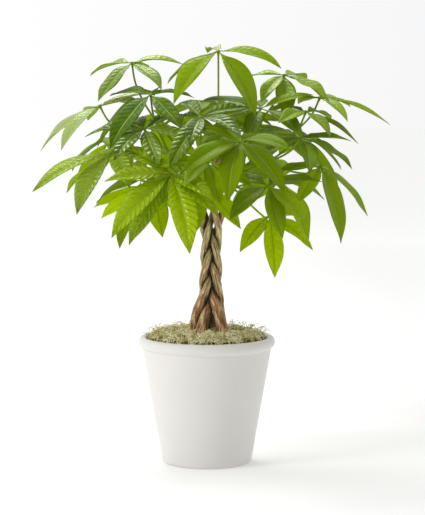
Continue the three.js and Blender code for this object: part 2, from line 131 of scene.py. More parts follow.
# A smooth path through the points, with the given number of steps in each span.
def smoothPath(points, steps):
    path = []
    for i in range(len(points) - 1):
        a, b = points[max(i - 1, 0)], points[i]
        c, d = points[i + 1], points[min(i + 2, len(points) - 1)]
        for k in range(steps):
            t = k / steps
            path.append(0.5 * (2 * b + (c - a) * t + (2 * a - 5 * b + 4 * c - d) * t * t
                               + (3 * b - 3 * c + d - a) * t ** 3))
    return path + [points[-1].copy()]


# The length of a path up to each of its points.
def lengthsAlong(path):
    lengths = [0]
    for a, b in zip(path, path[1:]):
        lengths.append(lengths[-1] + (b - a).length)
    return lengths


# Directions along a path, and a side direction that turns with it and doesn't twist.
def framesAlong(path):
    frames = []
    side = Vector((1, 0.2, 0.1))
    for i in range(len(path)):
        along = (path[min(i + 1, len(path) - 1)] - path[max(i - 1, 0)]).normalized()
        side = (side - along * side.dot(along)).normalized()
        frames.append((along, side, along.cross(side)))
    return frames


# Bends a grid into a closed tube. radiusAt(step, angle) gives its radius, and uv runs along it in
# metres and once round it.
def addTube(shape, path, radiusAt, sides, uvLayer=None):
    frames = framesAlong(path)
    lengths = lengthsAlong(path)
    steps = len(path) - 1
    grid = bmesh.ops.create_grid(shape, x_segments=sides, y_segments=steps, size=1)["verts"]
    ends = {0: [], steps: []}
    place = {}
    for vert in grid:
        turn = round((vert.co.x + 1) / 2 * sides)
        step = round((vert.co.y + 1) / 2 * steps)
        place[vert] = (turn, step)
        if uvLayer:
            for loop in vert.link_loops:
                loop[uvLayer].uv = (lengths[step], turn / sides)
    for vert in grid:
        turn, step = place[vert]
        angle = 2 * pi * (turn % sides) / sides
        along, side, other = frames[step]
        out = side * cos(angle) + other * sin(angle)
        vert.co = path[step] + out * radiusAt(step, angle)
        if step in ends:
            ends[step].append(vert)
    bmesh.ops.remove_doubles(shape, verts=grid, dist=sameSpot)
    for step in (0, steps):
        rim = [edge for edge in {e for v in ends[step] if v.is_valid for e in v.link_edges}
               if edge.is_boundary]
        bmesh.ops.contextual_create(shape, geom=rim)


print("frame loaded")

view = {
    "position": (7.5, -2600, 531),  # mm
    "pitch": 5.77,  # degrees below level
    "lens": 140.5,
    "sensor": 36,
    "farthest": 50,  # m
}
camera = bpy.data.objects.new("camera", bpy.data.cameras.new("camera"))
camera.data.lens = view["lens"]
camera.data.sensor_width = view["sensor"]
camera.data.clip_end = view["farthest"]
camera.location = Vector(view["position"]) * mm
camera.rotation_euler = (radians(90 - view["pitch"]), 0, 0)
scene.collection.objects.link(camera)
scene.camera = camera

studio = {
    "floorColour": "#d6d6d4",
    "floorSize": 12,  # m
    "room": (0.41, 1.02),  # how much light comes from its front and from its back
    "roomTurn": (-0.7, 0.5),  # the directions, from front to back, between which that changes
    "backdrop": (1.0, 0.93),  # how bright it looks on the left and on the right
    "backdropTurn": (-0.1, 0.1),  # the directions, from left to right, between which that changes
    "backdropAhead": (0.6, 0.9),  # it only does so at the back of the room
    "floorGlow": (0.27, 0.49),  # near the object and far from it
    "floorShade": (0.18, 0.09),  # what that loses on the right, near and far
    "floorFar": (1, 3.2),  # m, where near ends and far starts
    "floorRight": (-0.1, 0.4),  # m, where the loss starts and is full
    "pool": {"centre": (0.05, -0.3, 0), "reach": 0.4, "glow": 0.22},  # m, brighter in front
    "aim": (0, 0, 0.3),  # m, where the lights point
    "key": {"place": (-1.9, -1.25, 1.9), "size": 0.7, "power": 28},
    "back": {"place": (-0.3, 1.1, 2.1), "size": 0.9, "power": 29},
}


# Matt white board with painted light: it glows more far from the object and in a painted pool of
# light in front of it, and a painted shade dims that glow on its right.
def floorMaterial():
    paper = newMaterial("white board with painted light")
    place = addNode(paper, "TexCoord").outputs["Object"]
    away = addNode(paper, "VectorMath", {0: place}, operation="LENGTH").outputs["Value"]
    aside = addNode(paper, "SeparateXYZ", {"Vector": place}).outputs["X"]
    start, end = studio["floorFar"]
    glow, deepest = [addNode(paper, "MapRange", {
        "Value": away, "From Min": start, "From Max": end, "To Min": near, "To Max": far})
        for near, far in (studio["floorGlow"], studio["floorShade"])]
    # painted shade: the floor's glow is dimmed on its right
    start, full = studio["floorRight"]
    shade = addNode(paper, "MapRange", {
        "Value": aside, "From Min": start, "From Max": full, "To Min": 0, "To Max": deepest})
    # a painted pool of light: the floor glows more in front of the object
    pool = studio["pool"]
    fromPool = addNode(paper, "VectorMath", {0: place, 1: pool["centre"]}, operation="DISTANCE")
    poolGlow = addNode(paper, "MapRange", {
        "Value": fromPool.outputs["Value"], "From Min": 0, "From Max": pool["reach"],
        "To Min": pool["glow"], "To Max": 0}, interpolation_type="SMOOTHSTEP")
    lit = addNode(paper, "Math", {0: glow, 1: poolGlow}, operation="ADD")
    lit = addNode(paper, "Math", {0: lit, 1: shade}, operation="SUBTRACT", use_clamp=True)
    shader = addNode(paper, "BsdfPrincipled", {
        "Base Color": linear(studio["floorColour"]), "Roughness": 0.9, "Specular IOR Level": 0.1,
        "Emission Color": (1, 1, 1, 1), "Emission Strength": lit})
    return finishMaterial(paper, shader)


def makeFloor():
    shape = bmesh.new()
    bmesh.ops.create_grid(shape, x_segments=1, y_segments=1, size=studio["floorSize"])
    floor = addObject("floor", shape, floorMaterial())


def makeLight(name, place, size, power):
    light = bpy.data.lights.new(name, "AREA")
    light.size = size
    light.energy = power
    lamp = bpy.data.objects.new(name, light)
    lamp.location = place
    aim = Vector(studio["aim"]) - lamp.location
    lamp.rotation_euler = aim.to_track_quat("-Z", "Y").to_euler()
    scene.collection.objects.link(lamp)


# A white room that is brighter behind the object than in front of it.
def makeWorld():
    world = bpy.data.worlds.new("studio")
    world.use_nodes = True
    sky = world.node_tree.nodes["Background"]
    sky.inputs["Color"].default_value = (1, 1, 1, 1)
    way = addNode(world, "SeparateXYZ", {"Vector": addNode(world, "TexCoord").outputs["Generated"]})
    low, high = studio["roomTurn"]
    front, back = studio["room"]
    room = addNode(world, "MapRange", {
        "Value": way.outputs["Y"], "From Min": low, "From Max": high,
        "To Min": front, "To Max": back}, interpolation_type="SMOOTHSTEP")
    left, backdrop = studio["backdrop"]
    for axis, (low, high) in (("Y", studio["backdropAhead"]), ("X", studio["backdropTurn"])):
        backdrop = addNode(world, "MapRange", {
            "Value": way.outputs[axis], "From Min": low, "From Max": high,
            "To Min": left, "To Max": backdrop})
    strength = addNode(world, "Mix", {
        "Factor": addNode(world, "LightPath").outputs["Is Camera Ray"], "A": room, "B": backdrop})
    world.node_tree.links.new(strength.outputs["Result"], sky.inputs["Strength"])
    scene.world = world


makeFloor()
makeLight("key light", **studio["key"])
makeLight("back light", **studio["back"])
makeWorld()
scene.view_settings.view_transform = "Standard"
print("studio ready")

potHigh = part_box("pot")[1]
potStyle = {
    "rim": potHigh.x,
    "height": potHigh.z,
    "shoulder": (84.4 * mm, 151 * mm),  # radius and height where the rolled rim starts
    "foot": (59 * mm, 5 * mm),
    "lip": 77.4 * mm,
    "wall": 6.8 * mm,
    "floor": 8 * mm,
    "hollow": 0.9 * mm,  # how far the wall stops short of the rim
    "rimTurn": (-76, 180),  # degrees, from the hollow over the top to the lip
    "steps": {"foot": 8, "wall": 11, "rim": 32},
    "sides": 128,
}


# Points on an arc between two angles in degrees.
def arcPoints(centre, radii, angles, steps):
    turns = [radians(mix(*angles, i / steps)) for i in range(steps + 1)]
    return [(centre[0] + radii[0] * cos(turn), centre[1] + radii[1] * sin(turn))
            for turn in turns]


def potProfile():
    style = potStyle
    steps = style["steps"]
    shoulder, shoulderHeight = style["shoulder"]
    foot, footRound = style["foot"]
    half = ((style["rim"] - style["lip"]) / 2, (style["height"] - shoulderHeight) / 2)
    centre = (style["lip"] + half[0], style["height"] - half[1])
    slope = (shoulder - foot) / (shoulderHeight - footRound)
    profile = [(0, 0)]
    profile += arcPoints((foot - footRound, footRound), (footRound, footRound), (-90, 0),
                         steps["foot"])
    for i in range(1, steps["wall"] + 1):
        height = mix(footRound, shoulderHeight - style["hollow"], i / steps["wall"])
        profile.append((foot + slope * (height - footRound), height))
    # the rolled rim starts in a small hollow at the top of the wall
    profile += arcPoints(centre, half, style["rimTurn"], steps["rim"])
    profile.append((style["lip"], shoulderHeight))
    profile.append((foot + slope * (style["floor"] - footRound) - style["wall"], style["floor"]))
    profile.append((0, style["floor"]))
    return profile


def makePot(glaze):
    shape = bmesh.new()
    verts = [shape.verts.new((x, 0, z)) for x, z in potProfile()]
    edges = [shape.edges.new(pair) for pair in zip(verts, verts[1:])]
    bmesh.ops.spin(shape, geom=verts + edges, cent=(0, 0, 0), axis=(0, 0, 1), dvec=(0, 0, 0),
                   angle=2 * pi, steps=potStyle["sides"], use_merge=True)
    bmesh.ops.remove_doubles(shape, verts=shape.verts, dist=sameSpot)
    bmesh.ops.recalc_face_normals(shape, faces=shape.faces)
    addPiece("glazed_pot", shape, glaze, "pot", "pot")


# Stoneware under a satin white glaze: a soft broad shine, tinted in drifts of 55 mm, and a skin
# that is uneven every 4 mm.
def glazeMaterial():
    glaze = newMaterial("satin white glaze")
    place = addNode(glaze, "TexCoord").outputs["Object"]
    cloud = addNode(glaze, "TexNoise", {"Vector": place, "Scale": 18, "Detail": 3})
    tint = addNode(glaze, "MixRGB", {
        "Fac": cloud, "Color1": linear("#e8e5e2"), "Color2": linear("#e3e0dc")})
    fine = addNode(glaze, "TexNoise", {"Vector": place, "Scale": 260, "Detail": 2})
    bump = addNode(glaze, "Bump", {"Height": fine, "Strength": 0.06, "Distance": 0.4 * mm})
    shader = addNode(glaze, "BsdfPrincipled", {
        "Base Color": tint, "Normal": bump, "Roughness": 0.4, "IOR": 1.2})
    return finishMaterial(glaze, shader)


makePot(glazeMaterial())
print("pot made")

mossStyle = {
    "fibres": 1700,
    "darker": 0.2,  # share of the fibres that are brown and shaded
    "thick": 0.55,  # mm, half the thickness of a fibre
    "thickVary": (0.7, 1.2),
    "taper": 0.55,  # how thick its ends are, against the rest
    "step": 2.2,  # mm
    "points": 9,
    "curl": 56,  # degrees a step
    "curlVary": (0.35, 1.25),  # from fibre to fibre
    "stepVary": (0.6, 1.4),  # from step to step
    "loft": 4.6,  # mm, how high the loosest lie
    "low": 1.6,  # mm, how far the lowest sink in
    "ripple": (1.2, 1.2),  # mm up and down along a fibre, and radians a step
    "radius": 78.2,  # mm
    "wisps": 130,  # long ones that arch up off the cushion
    "wispLength": (11, 22),  # mm
    "wispRise": (4, 11),  # mm
    "wispThick": 0.6,  # against the other fibres
    "wispPlace": (0.7, 0.97),  # shares of the radius
    "wispAim": 1.9,  # radians, how far they may turn off the way out
    "wispBend": 0.22,  # radians a step
    "wispPart": (0.6, 0.95),  # how much of its arch a wisp has
    "sink": 3,  # mm from the top of the solid down to the shaded bed
    "sinkEdge": (66, 77),  # mm from the middle, where that starts to go and is gone
    "rough": 0.9,  # mm, the lumps of the bed
    "lumps": 190,  # to the metre
}


# The cushion under the fibres: a copy of the moss solid, roughened. It is given dark colours:
# painted shade under the fibres.
def makeMossBed(material):
    style = mossStyle
    shape = solidCopy("moss")
    bmesh.ops.subdivide_edges(shape, edges=shape.edges, cuts=3, use_grid_fill=True)
    inner, outer = style["sinkEdge"]
    for vert in shape.verts:
        if vert.normal.z > 0.2:
            level = 1 - smoothStep(inner * mm, outer * mm, hypot(vert.co.x, vert.co.y))
            dip = style["sink"] * level + style["rough"] * noise.noise(vert.co * style["lumps"])
            vert.co.z -= dip * mm
    addPiece("moss_bed", shape, material, "moss", "moss")


# The point of the cushion under a place, or nothing outside it.
def cushionAt(surface, x, y):
    return surface.ray_cast(Vector((x, y, 2 * potStyle["height"])), -up)[0]


# A curl that wanders over the cushion.
def mossCurl(surface, draw):
    style = mossStyle
    radius = style["radius"] * mm
    reach = radius * sqrt(draw.random())
    around = draw.uniform(0, 2 * pi)
    x, y = reach * cos(around), reach * sin(around)
    heading = draw.uniform(0, 2 * pi)
    turn = radians(style["curl"]) * draw.uniform(*style["curlVary"]) * draw.choice((-1, 1))
    lift = (draw.uniform(-0.1, 1) * style["loft"] - style["low"]) * mm
    sway = draw.uniform(0, 2 * pi)
    high, fast = style["ripple"]
    path = []
    for k in range(style["points"]):
        under = cushionAt(surface, x, y)
        if under is None or hypot(x, y) > radius:
            break
        path.append(Vector((x, y, under.z + lift + high * mm * sin(sway + fast * k))))
        heading += turn * draw.uniform(*style["stepVary"])
        x += style["step"] * mm * cos(heading)
        y += style["step"] * mm * sin(heading)
    return path


# A wisp that springs from the outer part of the cushion and arches over.
def mossWisp(surface, draw):
    style = mossStyle
    reach = style["radius"] * mm * draw.uniform(*style["wispPlace"])
    around = draw.uniform(0, 2 * pi)
    x, y = reach * cos(around), reach * sin(around)
    heading = around + draw.uniform(-style["wispAim"], style["wispAim"])
    turn = draw.uniform(-style["wispBend"], style["wispBend"])
    step = draw.uniform(*style["wispLength"]) * mm / style["points"]
    rise = draw.uniform(*style["wispRise"]) * mm
    last = draw.uniform(*style["wispPart"])
    start = cushionAt(surface, x, y)
    path = []
    for k in range(style["points"]):
        share = last * k / (style["points"] - 1)
        path.append(Vector((x, y, start.z - mm + rise * 4 * share * (1 - share))))
        x += step * cos(heading)
        y += step * sin(heading)
        heading += turn
    return path


# Fibres are given as pairs of a path and a thickness.
def makeFibres(name, material, fibres):
    curve = bpy.data.curves.new(name, "CURVE")
    curve.dimensions = "3D"
    curve.bevel_depth = mossStyle["thick"] * mm
    curve.bevel_resolution = 0
    curve.use_fill_caps = True
    draw = random.Random(5)
    for path, thickness in fibres:
        spline = curve.splines.new("POLY")
        spline.points.add(len(path) - 1)
        width = thickness * draw.uniform(*mossStyle["thickVary"])
        for k, (point, place) in enumerate(zip(spline.points, path)):
            point.co = (*place, 1)
            end = min(k, len(path) - 1 - k)
            point.radius = width * (mossStyle["taper"] if end == 0 else 1)
    holder = bpy.data.objects.new("holder", curve)
    scene.collection.objects.link(holder)
    bpy.context.view_layer.update()
    mesh = bpy.data.meshes.new_from_object(holder.evaluated_get(
        bpy.context.evaluated_depsgraph_get()))
    bpy.data.objects.remove(holder)
    shape = bmesh.new()
    shape.from_mesh(mesh)
    bpy.data.meshes.remove(mesh)
    bmesh.ops.remove_doubles(shape, verts=shape.verts, dist=sameSpot)
    addPiece(name, shape, material, "moss")


def makeMoss():
    draw = random.Random(11)
    surface = treeOf("moss")
    curls = [mossCurl(surface, draw) for _ in range(mossStyle["fibres"])]
    wisps = [(mossWisp(surface, draw), mossStyle["wispThick"])
             for _ in range(mossStyle["wisps"])]
    curls = [(path, 1) for path in curls if len(path) > 3]
    split = round(len(curls) * mossStyle["darker"])
    # the bed's dark moss colours are painted shade under the fibres
    makeMossBed(mossMaterial("dry moss bed, painted shade", "#352d10", "#5a5124", "#827845"))
    # the darker fibres and the wisps: brown strands, their darkness partly painted shade
    makeFibres("moss_fibres_dark", mossMaterial(
        "dry moss, brown strands in painted shade", "#8b7f4c", "#c4b87b", "#e4d99f"), curls[:split] + wisps)
    makeFibres("moss_fibres", mossMaterial(
        "dry moss, pale strands", "#d8cc96", "#fbf3c8", "#fffdec"), curls[split:])


# Dried forest moss: matt, springy strands in straw, olive and grey-green, which change in patches
# of 14 mm and flecks of 2 mm.
def mossMaterial(name, dark, mid, pale):
    moss = newMaterial(name)
    place = addNode(moss, "TexCoord").outputs["Object"]
    patch = addNode(moss, "TexNoise", {"Vector": place, "Scale": 70, "Detail": 3})
    strand = addNode(moss, "TexNoise", {"Vector": place, "Scale": 420, "Detail": 2})
    blend = addNode(moss, "Mix", {"Factor": 0.55, "A": patch, "B": strand})
    ramp = addNode(moss, "ValToRGB", {"Fac": blend})
    stops = ramp.color_ramp.elements
    stops[0].position, stops[0].color = 0.36, linear(dark)
    stops[1].position, stops[1].color = 0.64, linear(pale)
    stops.new(0.5).color = linear(mid)
    shader = addNode(moss, "BsdfPrincipled", {
        "Base Color": ramp, "Roughness": 0.95, "Specular IOR Level": 0.15})
    return finishMaterial(moss, shader)


# Peat and bark potting mix: dark and damp, in crumbs of 4 mm.
def soilMaterial():
    soil = newMaterial("potting mix")
    crumbs = addNode(soil, "TexNoise", {
        "Vector": addNode(soil, "TexCoord").outputs["Object"], "Scale": 240, "Detail": 5})
    ramp = addNode(soil, "ValToRGB", {"Fac": crumbs})
    ramp.color_ramp.elements[0].color = linear("#1d140c")
    ramp.color_ramp.elements[1].color = linear("#4b3826")
    bump = addNode(soil, "Bump", {"Height": crumbs, "Distance": 2 * mm})
    shader = addNode(soil, "BsdfPrincipled", {
        "Base Color": ramp, "Normal": bump, "Roughness": 0.95})
    return finishMaterial(soil, shader)


makeMoss()
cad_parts["soil"].material_slots[0].material = soilMaterial()
print("moss and soil made")

trunkNumbers = range(1, 6)
trunkStyle = {
    "sides": 28,
    "stepLength": 1.3,  # mm
    "substeps": 8,  # of each span of the frame, to measure the axis
    "ridges": {"high": 0.2, "around": 3.2, "along": 34},  # mm, then how close they come
    "swells": {"high": 0.22, "around": 0.5, "along": 26},
    # their place as shares of the length, mm high and long, and how narrow they are round it
    "knots": {"count": 4, "place": (0.35, 0.95), "high": 0.7, "long": 3.2, "narrow": 5.5},
    "plump": 0.98,  # how thick they are, against the frame
    "inner": 0.34,  # how much deeper they are towards the braid's middle
    "base": 0.94,  # how thick they are at the soil, against the rest
    "rise": (185, 245),  # mm, the heights between which these two change
    "cut": 0.02,  # how much of its section the rounded top ends with
    "squeeze": 0.06,  # how far the turns at the braid's sides are pressed in
    "squeezeFrom": 0.72,  # the share of the braid's half width where that starts
    "gapShade": (1.2, 4.2, 0.6),  # mm to another trunk where the shade is full and gone, and its depth
    "aims": (20, 2.4),  # directions in which the bark looks for other trunks, radians apart
    "look": (0.5, 22),  # mm, how far off the bark that starts, and how far it reaches
    "hidden": (0.08, 0.62),  # the shares of the view shut off where the shade starts and is full
}
trunkTrees = [treeOf(f"trunk_{index}") for index in trunkNumbers]


# Centres and radii of a frame tube's rings, from its bottom end to its top.
def ringsOf(shape):
    bottom = min(shape.verts, key=lambda vert: vert.co.z)
    ends = [v for v in shape.verts if v.co.z < bottom.co.z + 2 * mm]
    start = max(ends, key=lambda v: sum(1 for e in v.link_edges if e.other_vert(v) in ends))
    seen = {start}
    layer = {start}
    rings = []
    while True:
        layer = {e.other_vert(v) for v in layer for e in v.link_edges} - seen
        if len(layer) < 3:
            return rings
        seen |= layer
        centre = sum((v.co for v in layer), Vector()) / len(layer)
        rings.append((centre, sum((v.co - centre).length for v in layer) / len(layer)))


# A trunk's axis in even steps, the radius at each, and the length.
def trunkAxis(index):
    shape = solidCopy(f"trunk_{index}")
    rings = ringsOf(shape)
    shape.free()
    parts = trunkStyle["substeps"]
    path = smoothPath([ring[0] for ring in rings], parts)
    radii = [mix(rings[i][1], rings[i + 1][1], k / parts) for i in range(len(rings) - 1)
             for k in range(parts)] + [rings[-1][1]]
    lengths = lengthsAlong(path)
    steps = round(lengths[-1] / (trunkStyle["stepLength"] * mm))
    even, evenRadii, i = [], [], 0
    for k in range(steps + 1):
        distance = lengths[-1] * k / steps
        while i < len(path) - 2 and lengths[i + 1] < distance:
            i += 1
        share = (distance - lengths[i]) / (lengths[i + 1] - lengths[i])
        even.append(path[i].lerp(path[i + 1], share))
        evenRadii.append(mix(radii[i], radii[i + 1], share))
    return even, evenRadii, lengths[-1]


trunkAxes = [trunkAxis(index) for index in trunkNumbers]


# The points of the five axes at a height, and the middle of the braid there.
def pointsAt(height):
    return [min(axis[0], key=lambda point: abs(point.z - height)) for axis in trunkAxes]


def braidMiddle(height):
    return sum(pointsAt(height), Vector()) / len(trunkAxes)


# Presses in the turns at the braid's sides, so that its outline runs smoothly.
def squeezeBraid():
    points = [point for axis, _, _ in trunkAxes for point in axis]
    pressed = []
    for point in points:
        middle = braidMiddle(point.z)
        half = max(abs(near.x - middle.x) for near in pointsAt(point.z))
        out = smoothStep(trunkStyle["squeezeFrom"], 1, abs(point.x - middle.x) / half)
        pressed.append(mix(point.x, middle.x, trunkStyle["squeeze"] * out))
    for point, x in zip(points, pressed):
        point.x = x


squeezeBraid()


# Directions spread over the half ball above a face, closest where they leave it straight.
def outwardAims():
    count, turn = trunkStyle["aims"]
    aims = []
    for k in range(count):
        share = (k + 0.5) / count
        out = sqrt(share)
        aims.append(Vector((cos(turn * k) * out, sin(turn * k) * out, sqrt(1 - share))))
    return aims


# The share of those directions that other trunks shut off.
def hiddenShare(vert, aims, others):
    clear, reach = trunkStyle["look"]
    turn = vert.normal.to_track_quat("Z", "Y")
    shut = 0
    for way in [turn @ aim for aim in aims]:
        start = vert.co + way * clear * mm
        shut += any(tree.ray_cast(start, way, reach * mm)[0] for tree in others)
    return shut / len(aims)


# Painted shade: the bark is darker where other trunks touch it or shut off its light.
def shadeGaps(shape, index):
    near, far, most = trunkStyle["gapShade"]
    start, full = trunkStyle["hidden"]
    gapShadeLayer = shape.verts.layers.float.new("gapShade")
    others = [tree for other, tree in zip(trunkNumbers, trunkTrees) if other != index]
    aims = outwardAims()
    for vert in shape.verts:
        distance = min(tree.find_nearest(vert.co)[3] for tree in others)
        touch = most * (1 - smoothStep(near * mm, far * mm, distance))
        vert[gapShadeLayer] = max(touch, smoothStep(start, full, hiddenShare(vert, aims, others)))


# A trunk's radius at a step and an angle: it is deeper towards the braid's middle, and has ridges,
# swellings, knots and a rounded top.
def trunkForm(index):
    style, knots = trunkStyle, trunkStyle["knots"]
    axis, radii, length = trunkAxes[index - 1]
    steps = len(axis) - 1
    draw = random.Random(40 + index)
    knotPlaces = [(draw.uniform(*knots["place"]) * length, draw.uniform(0, 2 * pi))
                  for _ in range(knots["count"])]
    offset = Vector((17 * index, 3 * index, 0))
    inward = []
    for point, (along, side, other) in zip(axis, framesAlong(axis)):
        aim = braidMiddle(point.z) - point
        inward.append(atan2(aim.dot(other), aim.dot(side)))
    low, high = style["rise"]

    def radiusAt(step, angle):
        distance = length * step / steps
        out = Vector((cos(angle), sin(angle), 0))
        inner = max(0, cos(angle - inward[step]))
        risen = smoothStep(low * mm, high * mm, axis[step].z)
        radius = radii[step] * mix(style["base"], 1, risen) * (
            style["plump"] + style["inner"] * inner * inner * risen)
        for relief in (style["ridges"], style["swells"]):
            spot = out * relief["around"] + up * distance * relief["along"] + offset
            radius += relief["high"] * noise.noise(spot) * mm
        for place, turn in knotPlaces:
            near = ((distance - place) / (knots["long"] * mm)) ** 2 + (
                sin((angle - turn) / 2) * knots["narrow"]) ** 2
            radius += knots["high"] * mm * exp(-near)
        last = (steps - step) * length / steps
        if last < radii[-1]:
            radius *= sqrt(max(style["cut"], 1 - (1 - last / radii[-1]) ** 2))
        return radius

    return radiusAt


def makeTrunk(index, bark):
    shape = bmesh.new()
    uvLayer = shape.loops.layers.uv.new("barkMap")
    addTube(shape, trunkAxes[index - 1][0], trunkForm(index), trunkStyle["sides"], uvLayer)
    bmesh.ops.recalc_face_normals(shape, faces=shape.faces)
    shape.normal_update()
    shadeGaps(shape, index)
    addPiece(f"bark_{index}", shape, bark, "bark", f"trunk_{index}")


# Smooth young bark: grey-brown cork over olive green, in flecks 12 mm long, with painted shade
# where other trunks touch it or shut off its light.
def barkMaterial():
    bark = newMaterial("money tree bark")
    barkMap = addNode(bark, "SeparateXYZ", {
        "Vector": addNode(bark, "UVMap", uv_map="barkMap").outputs["UV"]})
    turn = addNode(bark, "Math", {0: barkMap.outputs["Y"], 1: 2 * pi}, operation="MULTIPLY")
    unrolled = addNode(bark, "CombineXYZ", {
        "X": addNode(bark, "Math", {0: turn}, operation="COSINE"),
        "Y": addNode(bark, "Math", {0: turn}, operation="SINE"),
        "Z": barkMap.outputs["X"]})

    # a grain that follows each trunk, by how close its flecks come around it and along it
    def grain(around, along, detail):
        spot = addNode(bark, "VectorMath", {0: unrolled, 1: (around, around, along)},
                       operation="MULTIPLY")
        return addNode(bark, "TexNoise", {
            "Vector": spot, "Scale": 1, "Detail": detail, "Roughness": 0.65})

    streak = grain(2.6, 80, 4)
    patch = grain(0.9, 30, 3)
    cork, olive = [addNode(bark, "ValToRGB", {"Fac": streak}) for _ in range(2)]
    for ramp, end, dark, light in ((cork, 0.64, "#4e2f19", "#fbdcab"),
                                   (olive, 0.66, "#5d5129", "#f2e2a4")):
        stops = ramp.color_ramp.elements
        stops[0].position, stops[0].color = 0.3, linear(dark)
        stops[1].position, stops[1].color = end, linear(light)
    cork.color_ramp.elements.new(0.5).color = linear("#a87750")
    # redder near the soil, more olive above
    place = addNode(bark, "SeparateXYZ", {
        "Vector": addNode(bark, "TexCoord").outputs["Object"]})
    level = addNode(bark, "MapRange", {
        "Value": place.outputs["Z"], "From Min": 0.19, "From Max": 0.26,
        "To Min": -0.07, "To Max": 0.03})
    choose = addNode(bark, "MapRange", {
        "Value": addNode(bark, "Math", {0: patch, 1: level}, operation="ADD"),
        "From Min": 0.46, "From Max": 0.62})
    blend = addNode(bark, "MixRGB", {"Fac": choose, "Color1": cork, "Color2": olive})
    # painted shade, dark brown, where other trunks touch the bark or shut off its light
    gapShade = addNode(bark, "Attribute", attribute_name="gapShade").outputs["Fac"]
    shaded = addNode(bark, "MixRGB", {
        "Fac": gapShade, "Color1": blend, "Color2": linear("#2c180a")})
    bump = addNode(bark, "Bump", {"Height": streak, "Strength": 0.5, "Distance": 0.7 * mm})
    shader = addNode(bark, "BsdfPrincipled", {
        "Base Color": shaded, "Normal": bump, "Roughness": 0.62, "Specular IOR Level": 0.4})
    return finishMaterial(bark, shader)


bark = barkMaterial()
for index in trunkNumbers:
    makeTrunk(index, bark)
print("trunks made")

# Where the frame's leaflets have their two outer rings, as shares of their length, and how wide
# they are there, as shares of their greatest width.
innerRing, outerRing = 0.36, 0.72
innerWidth, outerWidth = 0.845, 0.827
# What tells the parts of a frame frond apart.
frondMarks = {
    "tip": 150,  # degrees, the most that the corners round a leaflet's tip add up to
    "side": 2.7,  # mm, the longest side of one of the petiole's rings
    "radius": (1.1, 1.7),  # mm, of those rings
    "uneven": 0.02,  # mm, how much their corners may differ in it
}


# The midpoint and the two side points of a ring of six corners, which lie in three close pairs.
def ribAndSides(ring):
    left = list(ring)
    pairs = []
    while left:
        first = left.pop()
        second = min(left, key=lambda vert: (vert.co - first.co).length)
        left.remove(second)
        pairs.append((first.co + second.co) / 2)
    middle, *sides = sorted(pairs, key=lambda pair: sum((pair - p).length for p in pairs))
    return middle, sides


# Reads one leaflet's arc, widths and twist from its tip and its two outer rings.
def readLeaflet(tip, near, far):
    nearMid, nearSides = ribAndSides(near)
    farMid, farSides = ribAndSides(far)
    first, second = nearMid - farMid, tip.co - nearMid
    bend = first.angle(second) / ((1 - innerRing) / 2)
    normal = first.cross(second).normalized()
    half = (outerRing - innerRing) / 2
    radius = first.length / (2 * sin(half * bend))
    forward = first.normalized()
    downward = normal.cross(forward)
    start = -half * bend
    leaf = {"length": radius * bend, "across": -normal}

    def midrib(share):
        angle = bend * (share - innerRing) + start
        place = farMid + radius * ((sin(angle) - sin(start)) * forward
                                   + (cos(start) - cos(angle)) * downward)
        along = cos(angle) * forward + sin(angle) * downward
        return place, along, along.cross(normal)

    leaf["midrib"] = midrib
    for name, share, sides in (("inner", innerRing, farSides), ("outer", outerRing, nearSides)):
        face = midrib(share)[2]
        left, right = sorted(sides, key=lambda side: side.dot(leaf["across"]))
        span = right - left
        tilt = atan2(span.dot(face), span.dot(leaf["across"]))
        leaf[name] = {"half": span.length / 2, "tilt": tilt}
    leaf["hub"], leaf["tip"] = midrib(0)[0], midrib(1)[0]
    return leaf


def leafletsOf(shape):
    leaflets = []
    for tip in shape.verts:
        if len(tip.link_edges) != 6:
            continue
        corners = sum(loop.calc_angle() for loop in tip.link_loops)
        if degrees(corners) > frondMarks["tip"]:
            continue
        near = [edge.other_vert(tip) for edge in tip.link_edges]
        far = {e.other_vert(v) for v in near for e in v.link_edges} - set(near) - {tip}
        if len(far) == 6:
            leaflets.append(readLeaflet(tip, near, far))
    return sorted(leaflets, key=lambda leaf: leaf["tip"].x)


# The centres of the petiole's four-cornered rings, from the trunk to the hub. Its radius shrinks on
# the way, so their sizes give their order.
def petioleRings(shape):
    thinnest, thickest = frondMarks["radius"]
    rings = []
    seen = set()
    for vert in shape.verts:
        if vert in seen:
            continue
        group, waiting = {vert}, [vert]
        while waiting:
            for edge in waiting.pop().link_edges:
                for other in edge.verts:
                    if other not in group and edge.calc_length() < frondMarks["side"] * mm:
                        group.add(other)
                        waiting.append(other)
        seen |= group
        if len(group) != 4:
            continue
        centre = sum((v.co for v in group), Vector()) / 4
        radii = [(v.co - centre).length for v in group]
        even = max(radii) - min(radii) < frondMarks["uneven"] * mm
        if even and thinnest * mm < radii[0] < thickest * mm:
            rings.append((radii[0], centre))
    return [centre for _, centre in sorted(rings, key=lambda ring: -ring[0])]


